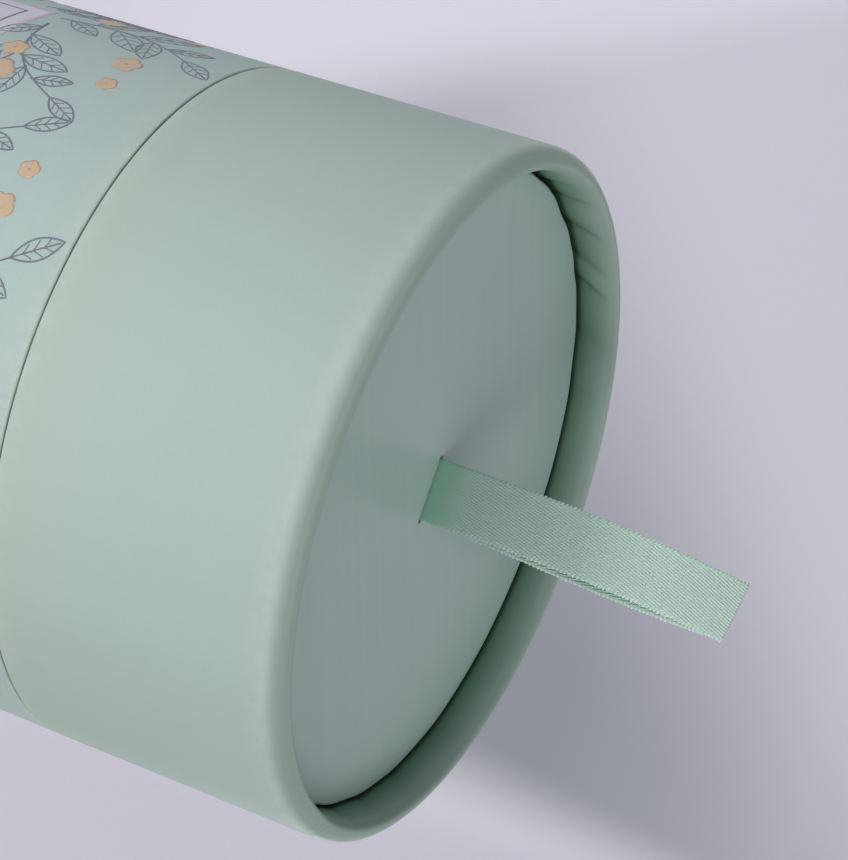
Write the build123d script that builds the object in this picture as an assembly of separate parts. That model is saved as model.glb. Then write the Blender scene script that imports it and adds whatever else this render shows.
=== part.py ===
from build123d import *
import os
from math import atan2, cos, degrees, hypot, sin

# A cylindrical gift box of wound board tube covered with matt paper. The body carries a neck,
# the lid slides down over the neck, and a satin ribbon loop on the lid's top pulls it off.
# Z runs up along the tube from the centre of its foot, and X runs along the ribbon's width.
# All lengths are in millimetres.

# Outside sizes of the closed box
outer_radius = 56.0
body_height = 132.0
lid_height = 49.3
seam_gap = 0.25

# Thickness of each board and paper
wrap_paper = 0.25
lining_paper = 0.15
disc_paper = 0.15
tube_board = 3.1
neck_board = 1.5
disc_board = 2.0
backing_card = 0.8
floor_card = 0.3

# Rounded edges, and how far the wrap is turned in over an edge
rim_round = 1.45
edge_round = 0.4
neck_round = 0.4
disc_round = 0.65
seam_flap_length = 12.0
rim_flap_length = 18.0

# How the pieces sit in each other
lid_recess = 6.65
foot_recess = 3.0
fit_clearance = 0.3
neck_headroom = 3.0
cover_margin = 0.35
floor_margin = 0.2
backing_margin = 1.2

# Satin ribbon, folded double into a loop
ribbon_width = 10.0
ribbon_thickness = 0.3
ribbon_height = 48.2
ribbon_droop = 16.5
ribbon_lean = 2.6
ribbon_spread = 1.0
ribbon_layer_gap = 0.1
ribbon_fold_radius = 0.45
ribbon_tail_length = 14.0
ribbon_root_height = 0.6

# Slit in the lid's disc
slit_end_play = 0.45
slit_side_play = 0.1

# The share of a wall that its rounding may take, the share of the ribbon's thickness that
# its bend rounds, and the share of the overrun by which the loop starts below its root
round_limit_share = 0.48
bend_share = 0.5
root_start_share = 0.5

# One overrun for every cut
cut_overrun = 5.0

# Radii and heights that follow from the sizes above
tube_outer = outer_radius - wrap_paper
tube_inner = tube_outer - tube_board
lid_lining_inner = tube_inner - lining_paper
lid_bore = lid_lining_inner - wrap_paper
neck_outer = lid_bore - fit_clearance
neck_inner = neck_outer - neck_board
neck_lining_inner = neck_inner - lining_paper
base_bore = neck_outer + wrap_paper

base_disc_bottom = foot_recess + disc_paper
floor_level = base_disc_bottom + disc_board
lid_bottom = body_height + seam_gap
lid_top = lid_bottom + lid_height
cover_top = lid_top - lid_recess
lid_disc_top = cover_top - disc_paper
lid_disc_bottom = lid_disc_top - disc_board
backing_bottom = lid_disc_bottom - backing_card
neck_top = backing_bottom - neck_headroom
ribbon_root = cover_top + ribbon_root_height

rim_fillet = min(rim_round, tube_board * round_limit_share)
edge_fillet = min(edge_round, tube_board * round_limit_share)
neck_fillet = min(neck_round, neck_board * round_limit_share)
disc_fillet = min(disc_round, disc_board * round_limit_share)


def section(inner, outer, bottom, top):
    """A flat rectangle between two radii and two heights."""
    centre = Pos((inner + outer) / 2, (bottom + top) / 2)
    return centre * Rectangle(outer - inner, top - bottom)


def round_corners(shape, side, radius):
    """Round both corners at the top or the bottom of a flat section."""
    return fillet(shape.vertices().group_by(Axis.Y)[side], radius)


def round_outer_top(shape, radius):
    """Round only the outer corner at the top of a flat section."""
    return fillet(shape.vertices().group_by(Axis.Y)[-1].sort_by(Axis.X)[-1], radius)


def turned(shape):
    """Turn a flat section once round the tube's axis."""
    return revolve(Plane.XZ * shape, Axis.Z)


def edged_section(inner, outer, bottom, top, top_radius, bottom_radius):
    """A tube wall with its four edges rounded."""
    shape = round_corners(section(inner, outer, bottom, top), -1, top_radius)
    return round_corners(shape, 0, bottom_radius)


def make_lid_tube():
    """The lid's wound board tube, with a soft rim at its top."""
    bottom = lid_bottom + wrap_paper
    top = lid_top - wrap_paper
    return turned(edged_section(tube_inner, tube_outer, bottom, top, rim_fillet, edge_fillet))


def make_lid_wrap():
    """The lid's paper, rolled over the rim and the lower edge and turned in at both."""
    outside = edged_section(
        lid_bore, outer_radius, lid_bottom, lid_top, rim_fillet + wrap_paper, edge_fillet + wrap_paper
    )
    bottom = lid_bottom + wrap_paper
    top = lid_top - wrap_paper
    core = edged_section(lid_lining_inner, tube_outer, bottom, top, rim_fillet, edge_fillet)
    between_flaps = section(
        lid_bore, lid_lining_inner, lid_bottom + seam_flap_length, lid_top - rim_flap_length
    )
    return turned(outside - core - between_flaps)


def make_lid_liner():
    """The thin paper that lines the lid's tube, under the turned-in flaps."""
    bottom = lid_bottom + wrap_paper + edge_fillet
    top = lid_top - wrap_paper - rim_fillet
    return turned(section(lid_lining_inner, tube_inner, bottom, top))


def slit_cut():
    """The block that cuts the ribbon's slit."""
    length = ribbon_width + 2 * slit_end_play
    width = 2 * ribbon_thickness + ribbon_layer_gap + 2 * slit_side_play
    height = cover_top - lid_disc_bottom + 2 * cut_overrun
    return Pos(0, 0, (cover_top + lid_disc_bottom) / 2) * Box(length, width, height)


def make_lid_disc():
    """The lid's board disc, pressed into the tube below the rim."""
    shape = section(0, lid_bore - disc_paper, lid_disc_bottom, lid_disc_top)
    return turned(round_outer_top(shape, disc_fillet)) - slit_cut()


def make_lid_disc_cover():
    """The smooth paper over the lid's disc, folded down round its edge."""
    outside = round_outer_top(section(0, lid_bore, lid_disc_bottom, cover_top), disc_fillet + disc_paper)
    core = round_outer_top(section(0, lid_bore - disc_paper, lid_disc_bottom, lid_disc_top), disc_fillet)
    return turned(outside - core) - slit_cut()


def tail_footprint(play, depth):
    """The block that the two tails fill, flat under the disc."""
    block = Box(ribbon_width + 2 * play, 2 * (ribbon_tail_length + play), depth)
    return Pos(0, 0, lid_disc_bottom - depth / 2) * block


def make_lid_backing_disc():
    """The card glued under the disc, with a shallow pocket for the ribbon's tails."""
    disc = turned(section(0, lid_bore - backing_margin, backing_bottom, lid_disc_bottom))
    return disc - tail_footprint(slit_side_play, ribbon_thickness)


def make_ribbon_tails():
    """The ribbon's two ends: down through the slit, then flat under the disc, one each way."""
    near = ribbon_layer_gap / 2
    far = near + ribbon_thickness
    flat_bottom = lid_disc_bottom - ribbon_thickness
    leg = section(near, far, flat_bottom, cover_top)
    tail = section(near, ribbon_tail_length, flat_bottom, lid_disc_bottom)
    bend = (leg + tail).vertices().group_by(Axis.Y)[0].sort_by(Axis.X)[0]
    outline = fillet(bend, ribbon_thickness * bend_share)
    one = extrude(Plane.YZ * outline, amount=ribbon_width / 2, both=True)
    return Compound(children=[one, mirror(one, Plane.XZ)])


def layer_arc(root, tip, bow, shift):
    """An arc from root to tip that bows out by a given height, moved out by a shift."""
    chord = hypot(tip[0] - root[0], tip[1] - root[1])
    radius = (chord * chord / 4 + bow * bow) / (2 * bow)
    along = ((tip[0] - root[0]) / chord, (tip[1] - root[1]) / chord)
    outward = (-along[1], along[0])
    half_angle = atan2(chord / 2, radius - bow)
    centre = [(a + b) / 2 - n * (radius - bow) for a, b, n in zip(root, tip, outward)]
    points = []
    for angle in (-half_angle, 0, half_angle):
        reach = [n * cos(angle) + a * sin(angle) for n, a in zip(outward, along)]
        points.append(tuple(c + (radius + shift) * r for c, r in zip(centre, reach)))
    return points


def loop_outline(shift):
    """The closed outline of the loop's middle line, moved out by a shift, as a flat face."""
    half_root = (ribbon_layer_gap + ribbon_thickness) / 2
    start = ribbon_root - cut_overrun * root_start_share
    rise = ribbon_height - ribbon_root_height
    tip = (ribbon_droop, ribbon_root + rise)
    slope = atan2(ribbon_droop, rise)
    side = (ribbon_fold_radius * cos(2 * slope), -ribbon_fold_radius * sin(2 * slope))
    bow = hypot(ribbon_droop, rise) / 2 * sin(slope / 2) / cos(slope / 2)
    front = layer_arc((-half_root, ribbon_root), (tip[0] - side[0], tip[1] - side[1]), bow + ribbon_spread, shift)
    back = layer_arc((half_root, ribbon_root), (tip[0] + side[0], tip[1] + side[1]), bow - ribbon_spread, -shift)
    peak = ribbon_fold_radius + shift
    apex = (tip[0] + peak * sin(2 * slope), tip[1] + peak * cos(2 * slope))
    edges = [
        ThreePointArc(*front),
        ThreePointArc(front[2], apex, back[2]),
        ThreePointArc(*reversed(back)),
        Line(back[0], (back[0][0], start)),
        Line((back[0][0], start), (front[0][0], start)),
        Line((front[0][0], start), front[0]),
    ]
    return make_face(Wire(edges))


def make_ribbon_loop():
    """The folded ribbon above the disc: two layers that part a little and meet in a fold."""
    half = ribbon_thickness / 2
    band = loop_outline(half) - loop_outline(-half)
    loop = extrude(Plane.YZ * band, amount=ribbon_width / 2, both=True)
    root = Pos(0, 0, ribbon_root)
    leaned = root * Rot(0, degrees(atan2(ribbon_lean, ribbon_height)), 0) * root.inverse() * loop
    size = 2 * (ribbon_width + ribbon_height)
    return leaned - Pos(0, 0, ribbon_root - size / 2) * Box(size, size, size)


def make_base_tube():
    """The body's wound board tube. Its foot is cut square and stands on the table."""
    shape = section(base_bore, tube_outer, 0, body_height - wrap_paper)
    return turned(round_corners(shape, -1, edge_fillet))


def make_base_wrap():
    """The body's paper, cut flush at the foot and turned in over the upper edge."""
    outside = section(neck_outer, outer_radius, 0, body_height)
    outside = round_corners(outside, -1, edge_fillet + wrap_paper)
    core = section(base_bore, tube_outer, -cut_overrun, body_height - wrap_paper)
    core = round_corners(core, -1, edge_fillet)
    below_flap = section(neck_outer, tube_outer, -cut_overrun, body_height - seam_flap_length)
    return turned(outside - core - below_flap)


def make_neck_tube():
    """The inner board tube, glued in the body and standing proud of it to carry the lid."""
    shape = section(neck_inner, neck_outer, floor_level, neck_top)
    return turned(round_corners(shape, -1, neck_fillet))


def make_neck_lining():
    """The plain paper inside the neck."""
    return turned(section(neck_lining_inner, neck_inner, floor_level, neck_top - neck_fillet))


def make_base_disc():
    """The board disc that closes the body, set up inside its foot."""
    return turned(section(0, base_bore, base_disc_bottom, floor_level))


def make_base_disc_cover():
    """The paper on the underside of the body's disc."""
    return turned(section(0, base_bore - cover_margin, foot_recess, base_disc_bottom))


def make_base_floor_disc():
    """The card on the floor inside the body."""
    return turned(section(0, neck_lining_inner - floor_margin, floor_level, floor_level + floor_card))


makers = {
    "lid_tube": make_lid_tube,
    "lid_wrap": make_lid_wrap,
    "lid_liner": make_lid_liner,
    "lid_disc": make_lid_disc,
    "lid_disc_cover": make_lid_disc_cover,
    "lid_backing_disc": make_lid_backing_disc,
    "ribbon_tails": make_ribbon_tails,
    "ribbon_loop": make_ribbon_loop,
    "base_tube": make_base_tube,
    "base_wrap": make_base_wrap,
    "neck_tube": make_neck_tube,
    "neck_lining": make_neck_lining,
    "base_disc": make_base_disc,
    "base_disc_cover": make_base_disc_cover,
    "base_floor_disc": make_base_floor_disc,
}

os.makedirs("parts", exist_ok=True)
for name, make in makers.items():
    export_step(make(), f"parts/{name}.step")
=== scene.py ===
from math import cos, hypot, pi, radians, sin, tau

import bpy
import numpy as np
from bpy.props import FloatProperty, FloatVectorProperty, PointerProperty
from bpy.types import Operator, Panel, PropertyGroup
from mathutils import Matrix, Vector


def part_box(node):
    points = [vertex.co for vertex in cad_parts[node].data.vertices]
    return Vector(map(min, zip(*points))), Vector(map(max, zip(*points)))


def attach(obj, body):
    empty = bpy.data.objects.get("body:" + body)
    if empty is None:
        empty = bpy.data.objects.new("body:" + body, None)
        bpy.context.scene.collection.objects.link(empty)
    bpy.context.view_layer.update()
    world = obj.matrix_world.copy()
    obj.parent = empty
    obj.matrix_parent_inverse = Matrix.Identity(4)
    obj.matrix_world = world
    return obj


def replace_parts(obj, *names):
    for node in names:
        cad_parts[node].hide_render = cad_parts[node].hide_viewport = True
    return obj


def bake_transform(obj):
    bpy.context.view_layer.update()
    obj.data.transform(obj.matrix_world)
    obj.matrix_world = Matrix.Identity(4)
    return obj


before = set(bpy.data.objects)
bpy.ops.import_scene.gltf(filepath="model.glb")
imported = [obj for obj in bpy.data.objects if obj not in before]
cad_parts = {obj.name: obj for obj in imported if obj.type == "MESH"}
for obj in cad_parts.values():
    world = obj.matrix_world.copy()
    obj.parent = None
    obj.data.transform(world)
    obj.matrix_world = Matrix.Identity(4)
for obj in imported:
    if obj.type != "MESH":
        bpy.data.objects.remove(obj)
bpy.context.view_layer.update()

bl_info = {
    "name": "Paper gift tube",
    "version": (1, 0, 0),
    "blender": (4, 5, 0),
    "location": "3D View > Sidebar > Gift Tube",
    "description": "Dresses a round gift box in paper, satin ribbon and print",
    "category": "Object",
}

# Everything is in metres, in the frame of the packed model: Z runs up the tube from the centre
# of its foot, X along the ribbon's width, and the photograph looks from the -Y side.
MM = 0.001

# The packed parts that the new pieces are fitted to
LID_LOW, LID_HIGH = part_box("lid_wrap")
BODY_LOW, BODY_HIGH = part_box("base_wrap")
TAILS_LOW, TAILS_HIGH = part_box("ribbon_tails")
COVER_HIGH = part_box("lid_disc_cover")[1]
BORE, DISC_TOP = COVER_HIGH.x, COVER_HIGH.z
DISC_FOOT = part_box("lid_disc")[0].z
LINER_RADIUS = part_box("lid_liner")[1].x
NECK_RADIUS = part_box("neck_tube")[1].x


# ---------------------------------------------------------------- colours and settings


def linear(hex_colour):
    """An sRGB hex colour as linear red, green, blue and alpha."""
    srgb = np.array([int(hex_colour[i : i + 2], 16) for i in (1, 3, 5)]) / 255
    rgb = np.where(srgb <= 0.04045, srgb / 12.92, ((srgb + 0.055) / 1.055) ** 2.4)
    return (*rgb.tolist(), 1.0)


def length(name, description, millimetres):
    """A length property, given in millimetres."""
    default = millimetres * MM
    return FloatProperty(name=name, description=description, default=default, unit="LENGTH", precision=5)


def angle(name, description, degrees):
    """An angle property, given in degrees."""
    return FloatProperty(name=name, description=description, default=radians(degrees), unit="ROTATION")


def point(name, description, default):
    """A point in metres."""
    return FloatVectorProperty(
        name=name, description=description, default=default, subtype="TRANSLATION", unit="LENGTH", precision=6
    )


def colour(name, description, hex_colour):
    """A colour property, given as sRGB hex."""
    return FloatVectorProperty(
        name=name, description=description, default=linear(hex_colour), subtype="COLOR", size=4, min=0, max=1
    )


class GiftTubeWraps(PropertyGroup):
    """Mint paper on the lid and the body"""

    radius: length("Outer radius", "Radius of the tube over its paper", LID_HIGH.x / MM)
    paper: length("Paper", "Thickness of the wrap", 0.25)
    rim_crown: length("Rim crown", "Distance of the rim's highest line from its inner side", 1.8)
    rim_drop: length("Rim drop", "Fall from the crown to the outer shoulder", 1.6)
    rim_shoulder: length("Rim shoulder", "Height of the rounding below the shoulder", 1.8)
    rim_inner_fall: length("Inner rim fall", "Height of the rim's inner rounding", 2.4)
    rim_inner_width: length("Inner rim width", "Width of the rim's inner rounding", 1.1)
    edge_round: length("Edge rounding", "Radius of the edges at the seam", 0.45)
    rim_flap: length("Rim flap", "Paper turned in over the rim", 18)
    seam_flap: length("Seam flap", "Paper turned in at the seam", 12)
    overlap_step: length("Overlap step", "Height of the step where the paper overlaps", 0.13)
    lid_overlap: angle("Lid overlap", "Azimuth of the lid's overlap from +X", -12.6)
    body_overlap: angle("Body overlap", "Azimuth of the body's overlap from +X", 104)
    pleat_depth: length("Pleat depth", "How far the deepest pleat stands in", 0.95)


class GiftTubeDisc(PropertyGroup):
    """Disc that closes the lid below its rim"""

    gap: length("Edge gap", "Dark gap between the disc and the turned-in paper", 0.34)
    far_gap: length("Far gap", "What the disc's offset adds to the gap on the far side", 0.6)
    paper: length("Paper", "Thickness of the disc's paper", 0.15)
    edge_round: length("Edge rounding", "Radius of the disc's upper edge", 0.6)
    turn_under: length("Turn-under", "Width of the paper folded under the disc", 4)
    slit_length: length("Slit length", "Length of the ribbon's slit", 10.9)
    slit_width: length("Slit width", "Width of the ribbon's slit", 1.3)


class GiftTubeRibbon(PropertyGroup):
    """Satin pull loop"""

    width: length("Width", "Width over the middle of the edge loops", (TAILS_HIGH.x - TAILS_LOW.x) / MM)
    thickness: length("Thickness", "Thickness of the ribbon", 0.3)
    height: length("Height", "Height of the fold above the slit", 46.5)
    droop: length("Droop", "How far the fold hangs back towards +Y", 16.5)
    lean: length("Lean", "How far the fold leans towards +X", 2.6)
    spread: length("Spread", "How far each layer bows out from the other", 0.9)
    side_slip: length("Side slip", "How far the back layer shows beside the front one", 1.1)
    fold_radius: length("Fold radius", "Middle radius of the fold", 0.34)
    half_gap: length("Layer half gap", "Middle of each layer from the slit's middle", 0.2)
    bend_radius: length("Bend radius", "Middle radius of the bend under the disc", 0.3)
    tail: length("Tail", "Length of each end under the disc", TAILS_HIGH.y / MM)
    loop_pitch: length("Loop pitch", "Spacing of the small loops along the edges", 0.69)
    loop_height: length("Loop height", "How far the small loops stand out", 0.18)


class GiftTubePrint(PropertyGroup):
    """Printed panel and sprigs on the body"""

    azimuth: angle("Azimuth", "Where the panel's middle is, from +X", -127)
    panel_width: length("Panel width", "Width of the panel round the tube", 61)
    panel_low: length("Panel foot", "Height of the panel's lower edge", 36)
    panel_high: length("Panel head", "Height of the panel's upper edge", 96.5)
    corner: length("Panel corner", "Radius of the panel's corners", 0.5)
    frame_inset: length("Frame inset", "Distance of the fine line from the panel's edge", 3.6)
    line: length("Line", "Width of a drawn line", 0.3)
    ink: length("Ink", "Thickness of the ink", 0.04)
    leaf: length("Leaf", "Length of a middling leaf", 10.5)
    blossom: length("Blossom", "Radius of a middling blossom", 3)


class GiftTubeStage(PropertyGroup):
    """Camera and backdrop"""

    camera_at: point("Camera", "Where the camera stands", (0.00032, -0.38945, 0.32874))
    camera_aim: point("Aim", "The point in the middle of the picture", (-0.008353, -0.000438, 0.170644))
    camera_roll: angle("Roll", "Turn of the camera about its line of sight", 108.66)
    lens: FloatProperty(name="Lens", description="Focal length on a 36 mm sensor", default=113.44, unit="CAMERA")
    floor_radius: length("Floor radius", "Radius of the flat floor", 1700)
    cove_radius: length("Cove radius", "Radius of the cove from floor to wall", 800)
    wall_height: length("Wall height", "Height of the backdrop", 1200)


class GiftTubeColours(PropertyGroup):
    """Colours of the papers, boards, ribbon, inks and floor"""

    mint: colour("Mint paper", "The wrap in even light", "#B4C9C2")
    mint_aged: colour("Aged mint paper", "The wrap near the seam, a little yellower", "#B4C5B6")
    # Lighter edges: partly rubbed wear, partly a painted highlight
    mint_worn_and_highlight: colour("Worn mint paper", "The wrap where hands have rubbed its edges", "#C8CFC6")
    # Painted shade: the rim's slope, darker where the light falls off
    mint_rim_shade: colour("Rim's mint paper", "The wrap on top of the rim, stretched and handled", "#94A99F")
    # Painted shade: the turned-in paper, deeper and greener down in the rim's recess
    mint_inside_shade: colour("Turned-in mint paper", "The wrap inside the rim, deeper and greener", "#5A8268")
    disc: colour("Disc paper", "The smooth paper on the lid's disc", "#AAC1BD")
    disc_dull: colour("Dull disc paper", "The disc's paper in its faint streaks", "#A5BDB7")
    board: colour("Grey board", "Raw wound board", "#9C968C")
    board_dark: colour("Grey board fibre", "Dark fibre in the raw board", "#7E786E")
    neck: colour("Neck", "Off-white facing of the neck", "#DCD9CF")
    lining: colour("Lining", "Off-white lining paper", "#E4E1D8")
    satin: colour("Satin", "The ribbon's warp floats", "#CEE2D8")
    satin_deep: colour("Satin shade", "The ribbon between its floats", "#A3CBB8")
    # Painted shade: the ribbon near the slit, where the rim shades it
    satin_root_shade: colour("Satin at the slit", "The ribbon where the slit pulls it tight", "#8FC2A7")
    panel: colour("Panel", "The off-white printed panel", "#D6D3DC")
    line: colour("Line ink", "The purple-grey drawn lines", "#7D7F8C")
    peach: colour("Peach ink", "The blossoms and berries", "#CDB394")
    floor: colour("Floor", "The pale lilac floor", "#E4E2EE")
    # Painted shadow: the backdrop's darker wedge behind the box, used faintly for its grain too
    floor_shadow_and_grain: colour("Floor shade", "The floor's duller middle behind the box", "#989AA4")
    air: colour("Air", "What the camera and gloss see past the backdrop", "#E8EAEA")


def groups(*names):
    """The scene's setting groups of these names."""
    return [getattr(bpy.context.scene, "gift_tube_" + name) for name in names]


# ---------------------------------------------------------------- mesh makers


def steps(value, start, end):
    """0 before start, 1 after end, and a smooth climb between them."""
    share = np.clip((np.asarray(value) - start) / (end - start), 0, 1)
    return share * share * (3 - 2 * share)


def bell(distance, width):
    """A bell curve: e to the power of minus the square of distance over width."""
    return np.exp(-((distance / width) ** 2))


def grid_faces(rows, columns, close_rows=False, close_columns=True, copies=1):
    """Four-cornered faces over a grid of points stored row by row, for one or more equal grids."""
    index = np.arange(rows * columns).reshape(rows, columns)
    if close_columns:
        index = np.concatenate([index, index[:, :1]], axis=1)
    if close_rows:
        index = np.concatenate([index, index[:1]])
    faces = np.stack([index[:-1, :-1], index[:-1, 1:], index[1:, 1:], index[1:, :-1]], axis=-1).reshape(-1, 4)
    return (faces + np.arange(copies)[:, None, None] * rows * columns).reshape(-1, 4)


def make_piece(name, points, material, faces=None, layers=None, uv=None, sharp_degrees=None):
    """A mesh object from whole arrays: points, faces, named values and one UV pair for each point.

    Where no faces are given, the points are a grid that closes on itself both ways.
    """
    if faces is None:
        faces = grid_faces(*points.shape[:2], close_rows=True)
    mesh = bpy.data.meshes.new(name)
    mesh.from_pydata(points.reshape(-1, 3).tolist(), [], faces if isinstance(faces, list) else faces.tolist())
    mesh.polygons.foreach_set("use_smooth", np.ones(len(mesh.polygons), bool))
    for layer, values in (layers or {}).items():
        values = np.broadcast_to(values, points.shape[:-1]).astype(np.float32)
        mesh.attributes.new(layer, "FLOAT", "POINT").data.foreach_set("value", values.ravel())
    if uv is not None:
        corners = np.zeros(len(mesh.loops), np.int32)
        mesh.loops.foreach_get("vertex_index", corners)
        uv = uv.reshape(-1, 2)[corners].astype(np.float32)
        mesh.uv_layers.new(name="weave").data.foreach_set("uv", uv.ravel())
    if sharp_degrees:
        mesh.set_sharp_from_angle(angle=radians(sharp_degrees))
    mesh.materials.append(material)
    mesh.validate()
    mesh.update()
    piece = bpy.data.objects.new(name, mesh)
    bpy.context.scene.collection.objects.link(piece)
    return piece


def rounded_way(corners, cuts, counts, corner_count=8):
    """Points along straight runs joined by corners that are pieces of ellipses, with outward normals.

    Outward is the way's right. Each corner cuts one length off the run before it and one off the
    run after it, or the same off both where one number is given. On a run the point moves evenly
    from end to end. Round a corner it is the corner's point, less the first cut times 1 - sin t
    along the first run, plus the second cut times 1 - cos t along the second run.
    """
    corners = np.array(corners, float)
    ahead = np.diff(corners, axis=0)
    ahead /= np.linalg.norm(ahead, axis=1)[:, None]
    outward = np.stack([ahead[:, 1], -ahead[:, 0]], axis=1)
    cut = np.array([(0, 0), *(np.broadcast_to(pair, 2) for pair in cuts), (0, 0)])
    turn = np.linspace(0, pi / 2, corner_count)[1:-1, None]
    way, normal = [], []
    for i, count in enumerate(counts):
        start = corners[i] + cut[i, 1] * ahead[i]
        end = corners[i + 1] - cut[i + 1, 0] * ahead[i]
        way.append(start + np.linspace(0, 1, count)[:, None] * (end - start))
        normal.append(np.repeat(outward[i : i + 1], count, axis=0))
        if i + 1 < len(counts):
            before, after = cut[i + 1]
            back, on = before * (1 - np.sin(turn)) * ahead[i], after * (1 - np.cos(turn)) * ahead[i + 1]
            way.append(corners[i + 1] - back + on)
            around = before * np.cos(turn) * outward[i] + after * np.sin(turn) * outward[i + 1]
            normal.append(around / np.linalg.norm(around, axis=1, keepdims=True))
    return np.concatenate(way), np.concatenate(normal)


def with_back(way, normal, thickness, stride=3):
    """Closes a way into a sheet of paper: its own points, then fewer of them set back by the thickness."""
    kept = np.unique(np.append(np.arange(0, len(way), stride), len(way) - 1))[::-1]
    back = way[kept] - thickness * normal[kept]
    return np.concatenate([way, back]), np.concatenate([normal, normal[kept]])


def turned(radius, height, azimuth):
    """Points at (radius cos a, radius sin a, height), for rows of a profile by azimuths."""
    return np.stack(np.broadcast_arrays(radius * np.cos(azimuth), radius * np.sin(azimuth), height), axis=-1)


def degrees_past(azimuth, edge):
    """How many degrees an azimuth lies past an edge, from -180 to 180."""
    return np.degrees((azimuth - edge + pi) % tau - pi)


def overlap_relief(azimuth, edge, step):
    """The paper's overlap: a sharp step at the edge that sinks back behind it.

    The height is step times a steep climb over 0.04 degrees behind the edge, times a smooth fall
    between 8 and 15 degrees behind it.
    """
    behind = degrees_past(edge, azimuth)
    return step * np.clip(behind / 0.04, 0, 1) * (1 - steps(behind, 8, 15))


def cut_line(azimuth, edge):
    """The painted shadow along the overlap's cut edge: 1 in a band half a degree wide over the step."""
    ahead = degrees_past(azimuth, edge)
    return steps(ahead, -0.22, -0.1) * (1 - steps(ahead, 0.16, 0.3))


def azimuths_near(count, *edges):
    """Even azimuths round the tube, with a few more close to each sharp edge."""
    close = np.radians([-1, -0.4, -0.2, -0.1, -0.05, -0.02, 0, 0.02, 0.05, 0.1, 0.16, 0.22, 0.3, 0.4, 1])
    extra = [edge + close for edge in edges]
    return np.unique(np.round(np.concatenate([np.arange(count) * tau / count, *extra]) % tau, 6))


# Where the turned-in paper gathers: the azimuth of each crease in degrees, and the share of the
# full depth that the paper from it to the next crease stands in. Long smooth stretches lie
# between short gathered ones.
CREASES, PLEATS = np.array([
    (4, 0.45), (15.5, 0.35), (28, 0.35), (44, 0.2), (66, 0.12), (84, 0.1), (103, 0.12), (118, 0.5),
    (130, 0.3), (142, 0.8), (148, 0.45), (157.5, 0.85), (168, 0.35), (175, 0.5), (183, 0.3), (190.5, 0.6),
    (199, 0.4), (205, 0.75), (213, 0.3), (226, 0.25), (239, 0.5), (247, 0.8), (254, 0.35), (263, 0.6),
    (271.5, 0.45), (277, 0.2), (288, 0.3), (301, 0.55), (309, 0.8), (315, 0.4), (322, 0.3), (331, 0.65),
    (338, 0.5), (345, 0.35), (353.5, 0.35),
]).T


def slanted_azimuth(azimuth, depth):
    """The azimuth in degrees that a point has at the disc's depth, followed along the slanting creases."""
    return (np.degrees(azimuth) + 0.8 * np.sin(3 * azimuth + 3.4) * (depth / MM - 6)) % 360


def crease_shade(azimuth, depth):
    """The painted shade in a crease: its strength times a bell 0.8 degrees wide, from 1 mm under the rim."""
    away = (slanted_azimuth(azimuth, depth)[..., None] - CREASES + 180) % 360 - 180
    strength = np.clip(np.maximum(PLEATS, np.roll(PLEATS, 1)) * 1.6 - 0.6, 0, 1)
    return (strength * bell(away, 0.8)).max(axis=-1) * steps(depth, 1 * MM, 4 * MM)


def pleat_relief(azimuth, depth, full):
    """How far the turned-in paper stands in from the wall, at an azimuth and a depth under the rim.

    Between two creases the relief is the cell's share times sin(pi t) to the power 0.65, where t
    runs from 0 to 1 across the cell. It fades in over the first few millimetres under the rim.
    """
    at = slanted_azimuth(azimuth, depth)
    edges = np.array([CREASES[-1] - 360, *CREASES, CREASES[0] + 360])
    cell = np.searchsorted(edges, at) - 1
    t = np.clip((at - edges[cell]) / (edges[cell + 1] - edges[cell]), 0, 1)
    return full * PLEATS[cell - 1] * np.sin(pi * t) ** 0.65 * steps(depth, 0.5 * MM, 5 * MM)


def slow_wave(azimuth, height, size):
    """A slow unevenness of the hand-wrapped paper: three sines round the tube that drift with height."""
    drift = height / (40 * MM)
    waves = 0.5 * np.sin(3 * azimuth + drift) + 0.3 * np.sin(7 * azimuth - 1.7 * drift + 1)
    return size * (waves + 0.2 * np.sin(13 * azimuth + 2))


def slit_ring(azimuth, half_length, half_width, out):
    """A round-ended slit's outline, moved out by a distance, at the columns' azimuths.

    A quarter of the columns goes to each round end and each straight side. The point is a core
    point on the slit's middle line plus (half width + out) times the unit normal.
    """
    at = degrees_past(azimuth, 0)
    core = (half_length - half_width) * np.clip((90 - abs(at)) / 45, -1, 1)
    turn = np.radians(np.sign(at) * (np.clip(2 * abs(at), 0, 90) + np.clip(2 * abs(at) - 270, 0, 90)))
    reach = half_width + out
    return np.stack([core + reach * np.cos(turn), reach * np.sin(turn)], axis=-1)


# ---------------------------------------------------------------- material makers


def fill(tree, node, inputs):
    """Sets a node's inputs, by name or in their order: an output is linked, anything else is a value."""
    for socket, value in inputs.items() if isinstance(inputs, dict) else enumerate(inputs):
        if isinstance(value, bpy.types.NodeSocket):
            tree.links.new(value, node.inputs[socket])
        else:
            node.inputs[socket].default_value = value


def add(tree, kind, inputs=(), **settings):
    """Adds a shader node with its settings and links, and returns its outputs."""
    node = tree.nodes.new("ShaderNode" + kind)
    for name, value in settings.items():
        setattr(node, name, value)
    fill(tree, node, inputs)
    return node.outputs


def new_material(name, finish, *looks):
    """A node material: its finish adds the nodes and returns what goes into the surface shader.

    A finish gets the node tree, Object coordinates, and the colours and sizes that it needs.
    """
    material = bpy.data.materials.new(name)
    material.use_nodes = True
    tree = material.node_tree
    place = add(tree, "TexCoord")["Object"]
    fill(tree, tree.nodes["Principled BSDF"], finish(tree, place, *looks))
    return material


def toned(base, factor):
    """A linear colour made darker or lighter by a factor."""
    return (*(min(part * factor, 1) for part in base[:3]), 1)


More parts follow.
